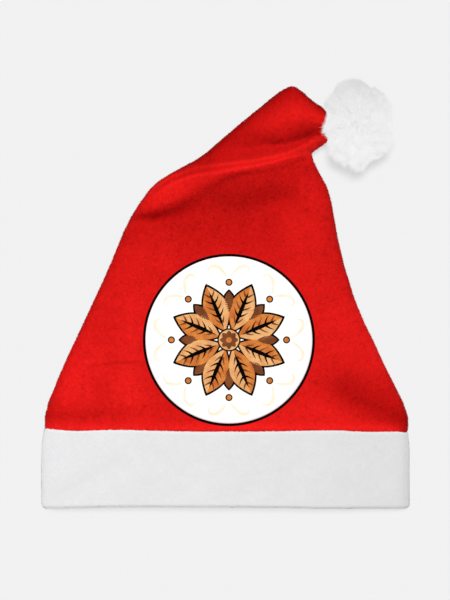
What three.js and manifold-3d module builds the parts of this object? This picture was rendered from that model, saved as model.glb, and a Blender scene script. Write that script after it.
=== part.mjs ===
// A plush stocking cap for Christmas, laid flat with its tip folded over to the right.
// Units are millimetres. The cap lies on the XY plane: +X is to the right, +Y runs from the
// open rim towards the tip, and +Z points up from the table. The origin is on the table, under
// the middle of the cap's box.

import * as THREE from "three";
import { mergeVertices } from "three/addons/utils/BufferGeometryUtils.js";
import Module from "manifold-3d";

const wasm = await Module();
wasm.setup();
const { clamp, euclideanModulo, lerp, radToDeg, smoothstep } = THREE.MathUtils;

// Driving dimensions
const CAP_WIDTH = 300; // across the flat cuff, which is half of the head opening
const CAP_LENGTH = 348; // from the rim to the far side of the pompom, with the tip folded over
const CUFF_HEIGHT = 61;
const CUFF_LOFT = 30; // how high the cuff's top layer lies over the table
const SIDE_HEIGHT = 9; // the height of the side folds, where the layers turn over
const PLUSH = 3; // thickness of the white plush
const TURN_IN = 2; // thickness of the plush turned in under the hem
const TURN_IN_DEPTH = 20; // how far it is turned in
const FLEECE = 2; // thickness of the red fleece
const GAP = 0.4; // left free between one layer and the next

// Places that follow from them
const RIM_Y = -CAP_LENGTH / 2;
const CUFF_TOP_Y = RIM_Y + CUFF_HEIGHT;
const CUFF_MIDDLE_Y = RIM_Y + CUFF_HEIGHT / 2;
const HEM_Y = RIM_Y + 4;
const CUFF_SIDE_X = CAP_WIDTH / 2;
const HEM_SIDE_X = CUFF_SIDE_X - PLUSH - GAP;
const HEM_LOFT = CUFF_LOFT - PLUSH - GAP;
const HEM_FLOOR = PLUSH + GAP;

// The shape of every cross-section. The powers are under 1, so the top layer is flatter in the
// middle and steeper at the sides than an ellipse, and the underside lies flat between its sides.
const TOP_FULLNESS = 0.55;
const UNDER_FULLNESS = 0.4;
const UNDER_SPREAD = 1.2;
const TOP_FACETS = 22;
const UNDER_FACETS = 12;

// The crown's cross-sections, from the hem to the tip. Each runs between the cap's left and right
// outline; loft, side and floor are the heights of its top, of its side folds and of its
// underside, and steps is how many facets lie between it and the next.
const sections = [
  { leftX: -HEM_SIDE_X, leftY: HEM_Y, rightX: HEM_SIDE_X, rightY: HEM_Y,
    loft: HEM_LOFT, side: SIDE_HEIGHT, floor: HEM_FLOOR, steps: 2 },
  { leftX: -HEM_SIDE_X, leftY: CUFF_TOP_Y - 4, rightX: HEM_SIDE_X, rightY: CUFF_TOP_Y - 4,
    loft: HEM_LOFT, side: SIDE_HEIGHT, floor: HEM_FLOOR, steps: 1 },
  { leftX: -HEM_SIDE_X, leftY: CUFF_TOP_Y + 1, rightX: HEM_SIDE_X, rightY: CUFF_TOP_Y + 1,
    loft: HEM_LOFT, side: SIDE_HEIGHT, floor: HEM_FLOOR, steps: 2 },
  { leftX: -147.3, leftY: -105, rightX: 148.2, rightY: -105, loft: 26.2, side: 8.5, floor: 1, steps: 2 },
  { leftX: -145.5, leftY: -94, rightX: 146.3, rightY: -94, loft: 26, side: 8, floor: 0, steps: 1 },
  { leftX: -140.2, leftY: -79.5, rightX: 139.8, rightY: -79.5, loft: 26, side: 8, floor: 0, steps: 1 },
  { leftX: -132.1, leftY: -60, rightX: 130, rightY: -60, loft: 26, side: 8, floor: 0, steps: 1 },
  { leftX: -123.1, leftY: -40.5, rightX: 121.1, rightY: -40.5, loft: 26, side: 8, floor: 0, steps: 1 },
  { leftX: -111.7, leftY: -16, rightX: 109.6, rightY: -16, loft: 25.5, side: 8, floor: 0, steps: 1 },
  { leftX: -100.3, leftY: 8.5, rightX: 101, rightY: 8.5, loft: 25, side: 8, floor: 0, steps: 1 },
  { leftX: -89.7, leftY: 33, rightX: 94.2, rightY: 33, loft: 24.5, side: 8, floor: 0, steps: 1 },
  { leftX: -81.5, leftY: 52.5, rightX: 90.1, rightY: 52.5, loft: 24, side: 8, floor: 0, steps: 2 },
  { leftX: -73.4, leftY: 67.3, rightX: 87.6, rightY: 66.5, loft: 23, side: 8, floor: 0, steps: 2 },
  { leftX: -66.8, leftY: 77, rightX: 84, rightY: 82, loft: 22.5, side: 8, floor: 0, steps: 3 },
  { leftX: -58.7, leftY: 86.8, rightX: 78.3, rightY: 94.2, loft: 22.5, side: 8, floor: 0, steps: 3 },
  { leftX: -49.7, leftY: 94.2, rightX: 73.4, rightY: 103.9, loft: 22.5, side: 8, floor: 0, steps: 2 },
  { leftX: -38.3, leftY: 101.5, rightX: 70.9, rightY: 109.6, loft: 22, side: 8, floor: 0, steps: 2 },
  { leftX: -20.4, leftY: 111.3, rightX: 70.4, rightY: 112.1, loft: 22, side: 8, floor: 0, steps: 2 },
  { leftX: -7.3, leftY: 121.1, rightX: 70.9, rightY: 113.1, loft: 22, side: 8, floor: 0, steps: 2 },
  { leftX: 9.8, leftY: 135.7, rightX: 72.6, rightY: 114.5, loft: 22.5, side: 8, floor: 0, steps: 2 },
  { leftX: 27.7, leftY: 150.4, rightX: 75.4, rightY: 116.6, loft: 23, side: 8, floor: 0, steps: 1 },
  { leftX: 39.9, leftY: 160.2, rightX: 77.9, rightY: 118.2, loft: 24, side: 9, floor: 0, steps: 1 },
  { leftX: 48.1, leftY: 165.5, rightX: 79.9, rightY: 119.4, loft: 25, side: 10, floor: 0, steps: 1 },
  { leftX: 53.8, leftY: 167.5, rightX: 81.5, rightY: 120.7, loft: 26, side: 11, floor: 0.5, steps: 1 },
  { leftX: 60.3, leftY: 165.1, rightX: 82.7, rightY: 121.9, loft: 26.5, side: 12, floor: 1.5, steps: 1 },
  { leftX: 67.7, leftY: 159, rightX: 83.2, rightY: 123.9, loft: 27, side: 14, floor: 3, steps: 1 },
  { leftX: 74.2, leftY: 154.1, rightX: 83.4, rightY: 126, loft: 27, side: 15.5, floor: 5, steps: 1 },
  { leftX: 79.1, leftY: 150.8, rightX: 83, rightY: 128.4, loft: 26.5, side: 16.5, floor: 7.5, steps: 1 },
  { leftX: 82.2, leftY: 145.5, rightX: 83.4, rightY: 131.7, loft: 24.5, side: 17, floor: 10, steps: 1 },
];
const TIP_ROW = sections.length - 1;
const HOLLOW_END_ROW = TIP_ROW - 2; // the hollow stops short of the tip's end

// Folds raise (or, below 0, sink) the top layer along a curve. Above and below are how far the
// fold reaches on the curve's tip side and on its rim side, and fadeIn and fadeOut are the
// lengths over which it grows from the curve's start and dies away to its end.
const folds = [
  { name: "front roll", lift: 6.5, above: 4, below: 14, fadeIn: 4, fadeOut: 4,
    curve: [[-63.6, 70.5], [-56, 80.5], [-43, 88.5], [-28.5, 92.5], [-2.5, 97], [20.5, 99.5], [49, 105.5], [70, 113]] },
  { name: "back roll", lift: 6, above: 5, below: 4, fadeIn: 16, fadeOut: 4,
    curve: [[-43, 93.5], [-27, 98.5], [-2.5, 102.5], [20.5, 105.5], [41, 110.5], [61, 117], [79, 125]] },
  { name: "valley behind the rolls", lift: -5, above: 9, below: 5, fadeIn: 34, fadeOut: 4,
    curve: [[-4, 111], [8, 113.5], [30, 117], [51.5, 123.5], [66, 131], [76, 134]] },
  { name: "trough before the rolls", lift: -4.5, above: 6, below: 20, fadeIn: 10, fadeOut: 50,
    curve: [[-67, 62], [-54.5, 65.5], [-41, 70.5], [-20.5, 73.5], [12, 75.5], [53, 83.5]] },
];
const CURVE_STEPS = 24;
const FOLD_EDGE_POWER = 1.5; // how fast the folds die away towards the side folds
for (const fold of folds) {
  const points = fold.curve.map(([x, y]) => new THREE.Vector2(x, y));
  fold.line = new THREE.SplineCurve(points).getSpacedPoints(CURVE_STEPS);
  fold.length = new THREE.SplineCurve(points).getLength();
}

// The white cuff's wall, as a profile that is carried round the cap. in is the depth below the
// cuff's outside, and y is where it lies along the cap.
const LIP_RISE = 1.5; // the rounding of the cuff's top edge
const RIM_RISE = 3; // the rounding of the rim, where the plush turns in
const TURN_IN_RISE = 1; // the rounding of the turned-in edge
const SLOT_END = HEM_FLOOR + FLEECE + GAP; // the far side of the slot that the hem sits in
const CUFF_INSIDE = SLOT_END + TURN_IN;
const cuffProfile = [
  ...roundEnd(PLUSH, 0, CUFF_TOP_Y - LIP_RISE, LIP_RISE, 4),
  { in: 0, y: CUFF_MIDDLE_Y },
  ...roundEnd(0, CUFF_INSIDE, RIM_Y + RIM_RISE, -RIM_RISE, 6),
  ...roundEnd(CUFF_INSIDE, SLOT_END, RIM_Y + TURN_IN_DEPTH - TURN_IN_RISE, TURN_IN_RISE, 2),
  { in: SLOT_END, y: HEM_Y - GAP },
  { in: PLUSH, y: HEM_Y - GAP },
  { in: PLUSH, y: CUFF_MIDDLE_Y },
];

// The printed disc on the crown's front, and its dark border
const PRINT_X = 2.8;
const PRINT_Y = -38.3;
const PRINT_RADIUS = 69.5;
const PRINT_BORDER = 2; // width of the border
const PRINT_FILM = 0.5; // thickness of the printed film
const PRINT_SLIT = 0.15; // between the field and its border
const PRINT_HUB = 1.2; // radius of the facets round the disc's middle
const PRINT_SPOKES = 40;
const FIELD_RINGS = 5;
const BORDER_INNER = PRINT_RADIUS - PRINT_BORDER;

// The pompom: a soft head with locks of pile fused to it, which together fill its box
const POMPOM_LOW = new THREE.Vector3(79.8, 99.8, -1); // the pile under the table's top is cut off
const POMPOM_HIGH = new THREE.Vector3(137.2, CAP_LENGTH / 2, 51);
const POMPOM_CENTRE = POMPOM_LOW.clone().lerp(POMPOM_HIGH, 0.5);
const POMPOM_REACH = POMPOM_HIGH.clone().sub(POMPOM_CENTRE); // half sizes out to the locks' ends
const HEAD_SHARE = 0.88; // the head's size, as a share of the reach
const ROOT_SHARE = 0.5; // where the locks start
const LOCKS = 44;
const LOCK_SIDES = 6;
const LOCK_RADIUS = 8.8;
const LOCK_LEAN = 2.2; // how far each lock's end leans over to one side
const LOCK_VARIETY = 0.035; // how much locks differ in length
const SEAT_GAP = 0.6; // left free between the pompom and the tip's end
// A lock's outline: a blunt, round-ended pile. radius is a share of the lock's, and along of its length.
const lockProfile = [
  { radius: 0, along: 0 },
  { radius: 0.9, along: 0 },
  { radius: 1, along: 0.7 },
  { radius: 0.62, along: 0.93 },
  { radius: 0, along: 1 },
];
// Longer and shorter tufts, by the direction they point in on the table, in degrees, and the
// share they add to the pile's reach
const tufts = [
  { angle: 77, longer: -0.06 },
  { angle: 97, longer: 0.04 },
  { angle: 118, longer: 0.1 },
  { angle: 147, longer: 0.11 },
  { angle: 232, longer: 0.08 },
  { angle: 267, longer: 0.08 },
  { angle: 292, longer: -0.07 },
  { angle: 330, longer: 0.04 },
];
const TUFT_SPREAD = 13; // degrees

// Half an ellipse of the cuff's profile, from one depth to another at a height that it rises above
function roundEnd(fromIn, toIn, y, rise, steps) {
  return Array.from({ length: steps + 1 }, (_, i) => {
    const turn = (Math.PI * i) / steps;
    return { in: lerp(fromIn, toIn, (1 - Math.cos(turn)) / 2), y: y + rise * Math.sin(turn) };
  });
}

// A value of a table's column at a whole or part row, smooth and never past its neighbours
function columnAt(rows, column, at) {
  const i = Math.min(Math.floor(at), rows.length - 2);
  const value = (k) => rows[clamp(k, 0, rows.length - 1)][column];
  const slope = (k) => {
    const before = value(k) - value(k - 1);
    const after = value(k + 1) - value(k);
    return before * after > 0 ? (2 * before * after) / (before + after) : 0;
  };
  const t = at - i;
  const start = value(i) + slope(i) * t;
  const end = value(i + 1) - slope(i + 1) * (1 - t);
  return lerp(start, end, smoothstep(t, 0, 1));
}

function sectionAt(at) {
  const columns = ["leftX", "leftY", "rightX", "rightY", "loft", "side", "floor"];
  return Object.fromEntries(columns.map((name) => [name, columnAt(sections, name, at)]));
}

// The nearest place on a line of evenly spaced points: its distance, negative on the rim side,
// and how far along the line it lies, from 0 to 1
function nearestOn(line, x, y) {
  let nearest = { distance: Infinity, along: 0 };
  for (let i = 0; i + 1 < line.length; i++) {
    const [a, b] = [line[i], line[i + 1]];
    const [runX, runY] = [b.x - a.x, b.y - a.y];
    const part = clamp(((x - a.x) * runX + (y - a.y) * runY) / (runX ** 2 + runY ** 2), 0, 1);
    const distance = Math.hypot(x - a.x - part * runX, y - a.y - part * runY);
    if (distance < Math.abs(nearest.distance)) {
      const side = Math.sign(runX * (y - a.y) - runY * (x - a.x)) || 1;
      nearest = { distance: side * distance, along: (i + part) / (line.length - 1) };
    }
  }
  return nearest;
}

function foldLift(x, y) {
  return folds.reduce((sum, fold) => {
    const { distance, along } = nearestOn(fold.line, x, y);
    const reach = distance > 0 ? fold.above : fold.below;
    const grown = smoothstep(along * fold.length, 0, fold.fadeIn);
    const left = smoothstep((1 - along) * fold.length, 0, fold.fadeOut);
    return sum + fold.lift * grown * left * Math.exp(-((distance / reach) ** 2));
  }, 0);
}

// How near a share of the way across a section is to its middle: 0 at the sides, 1 halfway
function middleness(share) {
  return Math.sqrt(Math.max(0, 1 - (2 * share - 1) ** 2));
}

// The height of the top layer at a share of the way across a section, 0 at the left and 1 at the
// right, less the depth that the surface lies below the outside
function topHeight(section, share, x, y, depth) {
  const middle = middleness(share);
  const dome = (section.loft - depth - section.side) * middle ** TOP_FULLNESS;
  return section.side + dome + foldLift(x, y) * middle ** FOLD_EDGE_POWER;
}

function underHeight(section, share, depth) {
  const fall = Math.min(1, UNDER_SPREAD * middleness(share) ** UNDER_FULLNESS);
  return section.side - (section.side - section.floor - depth) * fall;
}

// One closed loop of points round a section: over the top from left to right, and back below
function sectionLoop(section, depth) {
  const left = new THREE.Vector2(section.leftX, section.leftY);
  const right = new THREE.Vector2(section.rightX, section.rightY);
  const width = left.distanceTo(right);
  const point = (turn, height) => {
    const share = (1 - Math.cos(turn)) / 2;
    const place = left.clone().lerp(right, (depth + share * (width - 2 * depth)) / width);
    return new THREE.Vector3(place.x, place.y, height(share, place.x, place.y));
  };
  const top = (share, x, y) => topHeight(section, share, x, y, depth);
  const under = (share) => underHeight(section, share, depth);
  const loop = [];
  for (let i = 0; i < TOP_FACETS; i++) loop.push(point((Math.PI * i) / TOP_FACETS, top));
  for (let i = UNDER_FACETS; i > 0; i--) loop.push(point((Math.PI * i) / UNDER_FACETS, under));
  return loop;
}

// A closed surface through loops of points. A ring joins its last loop to its first, and
// otherwise the two end loops are closed.
function skin(loops, ring = false) {
  const around = loops[0].length;
  const positions = loops.flat().flatMap((p) => [p.x, p.y, p.z]);
  const index = [];
  const joins = ring ? loops.length : loops.length - 1;
  for (let i = 0; i < joins; i++) {
    const here = i * around;
    const next = ((i + 1) % loops.length) * around;
    for (let k = 0; k < around; k++) {
      const k2 = (k + 1) % around;
      index.push(here + k, next + k, here + k2, here + k2, next + k, next + k2);
    }
  }
  const closeEnd = (loop, start, facesBack) => {
    const middle = loop.reduce((sum, p) => sum.add(p), new THREE.Vector3()).divideScalar(around);
    const hub = positions.length / 3;
    positions.push(...middle);
    for (let k = 0; k < around; k++) {
      const k2 = (k + 1) % around;
      index.push(hub, start + (facesBack ? k : k2), start + (facesBack ? k2 : k));
    }
  };
  if (!ring) {
    closeEnd(loops[0], 0, true);
    closeEnd(loops.at(-1), (loops.length - 1) * around, false);
  }
  return new THREE.BufferGeometry()
    .setAttribute("position", new THREE.Float32BufferAttribute(positions, 3))
    .setIndex(index);
}

// The crown's loops from the hem to a row of its sections, at a depth below its outside
function crownLoops(depth, lastRow) {
  const loops = [];
  for (let row = 0; row < lastRow; row++) {
    const { steps } = sections[row];
    for (let i = 0; i < steps; i++) loops.push(sectionLoop(sectionAt(row + i / steps), depth));
  }
  loops.push(sectionLoop(sectionAt(lastRow), depth));
  return loops;
}

// The red crown: the outside from the tip to the hem, and the hollow from the hem back to the tip
function crownGeometry() {
  return skin([...crownLoops(0, TIP_ROW).reverse(), ...crownLoops(FLEECE, HOLLOW_END_ROW)]);
}

function cuffGeometry() {
  const loops = cuffProfile.map((point) => {
    const ends = { leftX: -CUFF_SIDE_X, leftY: point.y, rightX: CUFF_SIDE_X, rightY: point.y };
    return sectionLoop({ ...ends, loft: CUFF_LOFT, side: SIDE_HEIGHT, floor: 0 }, point.in);
  });
  return skin(loops, true);
}

// The crown's top height under a point of its front, where the sections run straight across
function frontHeight(x, y) {
  let low = 0;
  let high = TIP_ROW;
  while (high - low > 1e-4) {
    const at = (low + high) / 2;
    if (columnAt(sections, "leftY", at) < y) low = at;
    else high = at;
  }
  const section = sectionAt(low);
  const share = (x - section.leftX) / (section.rightX - section.leftX);
  return topHeight(section, share, x, y, 0);
}

// Printed film on the crown's front between two radii: a disc, or with isRing a ring round a hole
function filmGeometry(innerRadius, outerRadius, rings, isRing) {
  const loop = (radius, lift) =>
    Array.from({ length: PRINT_SPOKES }, (_, k) => {
      const angle = (2 * Math.PI * k) / PRINT_SPOKES;
      const x = PRINT_X + radius * Math.cos(angle);
      const y = PRINT_Y + radius * Math.sin(angle);
      return new THREE.Vector3(x, y, frontHeight(x, y) + lift);
    });
  const radii = Array.from({ length: rings + 1 }, (_, i) => lerp(innerRadius, outerRadius, i / rings));
  const above = radii.map((radius) => loop(radius, GAP + PRINT_FILM));
  const below = radii.map((radius) => loop(radius, GAP)).reverse();
  return skin([...above, ...below], isRing);
}

function toSolid(geometry) {
  const bare = geometry.clone();
  bare.deleteAttribute("normal");
  bare.deleteAttribute("uv");
  const merged = mergeVertices(bare, 1e-4);
  return new wasm.Manifold(
    new wasm.Mesh({
      numProp: 3,
      vertProperties: merged.attributes.position.array,
      triVerts: new Uint32Array(merged.index.array),
    }),
  );
}

function toGeometry(solid) {
  const made = solid.getMesh();
  return new THREE.BufferGeometry()
    .setAttribute("position", new THREE.BufferAttribute(made.vertProperties, 3))
    .setIndex(new THREE.BufferAttribute(made.triVerts, 1));
}

// How much longer the locks are in a direction, as a share
function tuftShare(direction) {
  const angle = radToDeg(Math.atan2(direction.y, direction.x));
  const level = Math.hypot(direction.x, direction.y);
  return tufts.reduce((sum, tuft) => {
    const off = euclideanModulo(angle - tuft.angle + 180, 360) - 180;
    return sum + tuft.longer * level * Math.exp(-((off / TUFT_SPREAD) ** 2));
  }, 0);
}

// A lock of pile that leaves the head in a direction
function lockGeometry(direction, number) {
  const variety = LOCK_VARIETY * ((number % 3) - 1);
  const lean = new THREE.Vector3(-direction.y, direction.x, number % 2 ? 0.5 : -0.5).normalize();
  const root = direction.clone().multiply(POMPOM_REACH).multiplyScalar(ROOT_SHARE);
  const end = direction.clone().multiply(POMPOM_REACH).multiplyScalar(1 + tuftShare(direction) + variety);
  end.addScaledVector(lean, number % 2 ? LOCK_LEAN : -LOCK_LEAN);
  const along = end.sub(root);
  const length = along.length();
  const outline = lockProfile.map((row) => new THREE.Vector2(LOCK_RADIUS * row.radius, length * row.along));
  const turn = new THREE.Quaternion().setFromUnitVectors(new THREE.Vector3(0, 1, 0), along.normalize());
  return new THREE.LatheGeometry(outline, LOCK_SIDES).applyQuaternion(turn).translate(...root);
}

// Scales and moves a geometry so that it fills a box
function fillBox(geometry, low, high) {
  geometry.computeBoundingBox();
  const { min, max } = geometry.boundingBox;
  const scale = high.clone().sub(low).divide(max.clone().sub(min));
  return geometry.translate(...min.clone().negate()).scale(...scale).translate(...low);
}

// The crown's outside, grown a little all round and past its tip's end
function crownSpace() {
  const loops = crownLoops(-GAP, TIP_ROW);
  loops.push(loops.at(-1).map((p) => new THREE.Vector3(p.x + SEAT_GAP, p.y, p.z)));
  return skin(loops.reverse());
}

function pompomGeometry() {
  const headSize = POMPOM_REACH.clone().multiplyScalar(HEAD_SHARE);
  const solids = [toSolid(new THREE.SphereGeometry(1, 16, 12).scale(...headSize))];
  const goldenAngle = Math.PI * (3 - Math.sqrt(5));
  for (let i = 0; i < LOCKS; i++) {
    const height = 1 - (2 * (i + 0.5)) / LOCKS;
    const level = Math.sqrt(1 - height ** 2);
    const direction = new THREE.Vector3(
      level * Math.cos(i * goldenAngle),
      level * Math.sin(i * goldenAngle),
      height,
    );
    solids.push(toSolid(lockGeometry(direction, i)));
  }
  const ball = fillBox(toGeometry(wasm.Manifold.union(solids)), POMPOM_LOW, POMPOM_HIGH);
  const underTable = new THREE.BoxGeometry(CAP_WIDTH, CAP_WIDTH, CAP_WIDTH);
  underTable.translate(POMPOM_CENTRE.x, POMPOM_CENTRE.y, -CAP_WIDTH / 2);
  const cut = toSolid(ball).subtract(toSolid(crownSpace())).subtract(toSolid(underTable));
  const [largest] = cut.decompose().sort((a, b) => b.volume() - a.volume());
  return toGeometry(largest);
}

function piece(name, geometry, color, roughness) {
  geometry.computeVertexNormals();
  const mesh = new THREE.Mesh(geometry, new THREE.MeshStandardMaterial({ color, roughness, metalness: 0 }));
  mesh.name = name;
  return mesh;
}

const cap = new THREE.Group();
cap.add(
  piece("crown", crownGeometry(), 0xd2101a, 0.95),
  piece("cuff", cuffGeometry(), 0xececee, 0.95),
  piece("pompom", pompomGeometry(), 0xeeeeef, 1),
  piece("print_field", filmGeometry(PRINT_HUB, BORDER_INNER - PRINT_SLIT, FIELD_RINGS, false), 0xfbfaf7, 0.7),
  piece("print_border", filmGeometry(BORDER_INNER, PRINT_RADIUS, 1, true), 0x141214, 0.7),
);

export default cap;
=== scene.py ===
"""The looks of a plush stocking cap for Christmas. It lies flat on a pale table, seen from above,
with its tip folded over to the right. Sizes of the cap are in millimetres, as in the part's
source, and mesh_piece() turns them into metres."""

import math

import bpy
import numpy as np
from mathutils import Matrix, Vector


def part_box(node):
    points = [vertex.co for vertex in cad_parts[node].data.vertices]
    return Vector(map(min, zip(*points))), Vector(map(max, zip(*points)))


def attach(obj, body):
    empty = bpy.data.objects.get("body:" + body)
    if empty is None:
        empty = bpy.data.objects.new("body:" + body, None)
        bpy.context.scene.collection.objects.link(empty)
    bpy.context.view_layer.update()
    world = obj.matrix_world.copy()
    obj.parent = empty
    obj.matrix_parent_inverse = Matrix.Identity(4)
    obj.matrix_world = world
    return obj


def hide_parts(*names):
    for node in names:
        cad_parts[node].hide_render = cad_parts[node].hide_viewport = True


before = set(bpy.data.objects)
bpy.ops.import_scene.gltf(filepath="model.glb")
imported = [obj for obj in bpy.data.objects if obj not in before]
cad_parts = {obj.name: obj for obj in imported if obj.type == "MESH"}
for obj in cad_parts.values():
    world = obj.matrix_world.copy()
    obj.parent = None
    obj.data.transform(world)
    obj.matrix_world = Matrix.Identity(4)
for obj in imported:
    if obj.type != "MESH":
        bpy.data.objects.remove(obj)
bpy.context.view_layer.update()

MM = 0.001
TINY = 1e-9  # keeps a division away from zero


def node_box(name):
    """A CAD node's lowest and highest corners, in millimetres."""
    return [np.array(corner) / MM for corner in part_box(name)]


# Sizes and places that the frame gives
cuff_low, cuff_high = node_box("cuff")
crown_low = node_box("crown")[0]
pompom_low, pompom_high = node_box("pompom")
border_low, border_high = node_box("print_border")
RIM_Y = cuff_low[1]
CUFF_TOP_Y = cuff_high[1]
CUFF_SIDE_X = cuff_high[0]
CUFF_LOFT = cuff_high[2]
HEM_Y = crown_low[1]
POMPOM_CENTRE = (pompom_low + pompom_high) / 2
POMPOM_REACH = (pompom_high - pompom_low) / 2
PRINT_CENTRE = (border_low[:2] + border_high[:2]) / 2
PRINT_RADIUS = (border_high[0] - border_low[0]) / 2

# The cloth's own sizes
SIDE_HEIGHT = 9  # of the cuff's side folds
PLUSH = 3  # the cuff's wall
TURN_IN = 2  # its turned-in part's wall
TURN_IN_DEPTH = 20
FLEECE = 2  # the crown's wall
NAP_PROUD = 0.4  # how far the crown's nap stands out at the side folds
GAP = 0.4  # between the crown's hem and the cuff
HEM_SIDE_X = CUFF_SIDE_X - PLUSH - GAP
HEM_LOFT = CUFF_LOFT - PLUSH - GAP
HEM_FLOOR = PLUSH + GAP
PRINT_BORDER = 2
PRINT_SLIT = 0.15  # between the border and the field
BORDER_INNER = PRINT_RADIUS - PRINT_BORDER
FILM_UNDER = 0.4  # how far over the cloth the film's two faces lie
FILM_TOP = 0.9

# The shape of a cross-section: powers under 1 make it flatter in the middle than an ellipse
TOP_FULLNESS = 0.55
UNDER_FULLNESS = 0.4
UNDER_SPREAD = 1.2  # over 1, so that the underside is flat over most of its width
FOLD_EDGE_POWER = 1.5  # how the folds fade towards the sides

# The crown's cross-sections from the hem to the tip, in these columns: the left end's x and y, the
# right end's x and y, the heights of the top, of the side folds and of the underside
SECTIONS = np.array([
    (-HEM_SIDE_X, HEM_Y, HEM_SIDE_X, HEM_Y, HEM_LOFT, SIDE_HEIGHT, HEM_FLOOR),
    (-HEM_SIDE_X, CUFF_TOP_Y - 4, HEM_SIDE_X, CUFF_TOP_Y - 4, HEM_LOFT, SIDE_HEIGHT, HEM_FLOOR),
    (-147.2, CUFF_TOP_Y + 1, 148.6, CUFF_TOP_Y + 1, HEM_LOFT, SIDE_HEIGHT, HEM_FLOOR),
    (-147.3, -105, 149, -105, 26.2, 8.5, 1),
    (-145.5, -94, 146.3, -94, 26, 8, 0),
    (-140.2, -79.5, 139.8, -79.5, 26, 8, 0),
    (-132.1, -60, 130, -60, 26, 8, 0),
    (-123.1, -40.5, 121.1, -40.5, 26, 8, 0),
    (-111.7, -16, 109.6, -16, 25.5, 8, 0),
    (-100.3, 8.5, 101, 8.5, 25, 8, 0),
    (-89.7, 33, 94.2, 33, 24.5, 8, 0),
    (-81.5, 52.5, 90.1, 52.5, 24, 8, 0),
    (-73.4, 67.3, 87.6, 66.5, 23, 8, 0),
    (-66.8, 77, 84, 82, 22.5, 8, 0),
    (-58.7, 86.8, 78.3, 94.2, 22.5, 8, 0),
    (-49.4, 93.8, 73.4, 103.9, 22.5, 8, 0),
    (-37.8, 100.5, 70.9, 110.2, 22, 8, 0),
    (-20.1, 110.7, 70.4, 113.5, 22, 8, 0),
    (-7.3, 121.1, 70.9, 114.6, 22, 8, 0),
    (9.8, 135.7, 72.6, 116, 22.5, 8, 0),
    (27.7, 150.4, 75.4, 118.1, 23, 8, 0),
    (39.9, 160.2, 77.9, 119.6, 24, 9, 0),
    (48.1, 165.5, 79.7, 120.8, 25, 10, 0),
    (53.8, 167.5, 81.1, 122, 26, 11, 0.5),
    (59.9, 164.6, 82.3, 123.2, 26.5, 12, 1.5),
    (67, 158.2, 82.9, 125, 27, 14, 3),
    (73.4, 153.2, 83.4, 126, 27, 15.5, 5),
    (78.4, 149.8, 83, 128.4, 26.5, 16.5, 7.5),
    (81.9, 144.7, 83.4, 131.7, 24.5, 17, 10),
])
TIP_ROW = len(SECTIONS) - 1
HOLLOW_END_ROW = TIP_ROW - 2
STRAIGHT_ROWS = 11  # up to here the sections run straight across

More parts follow.
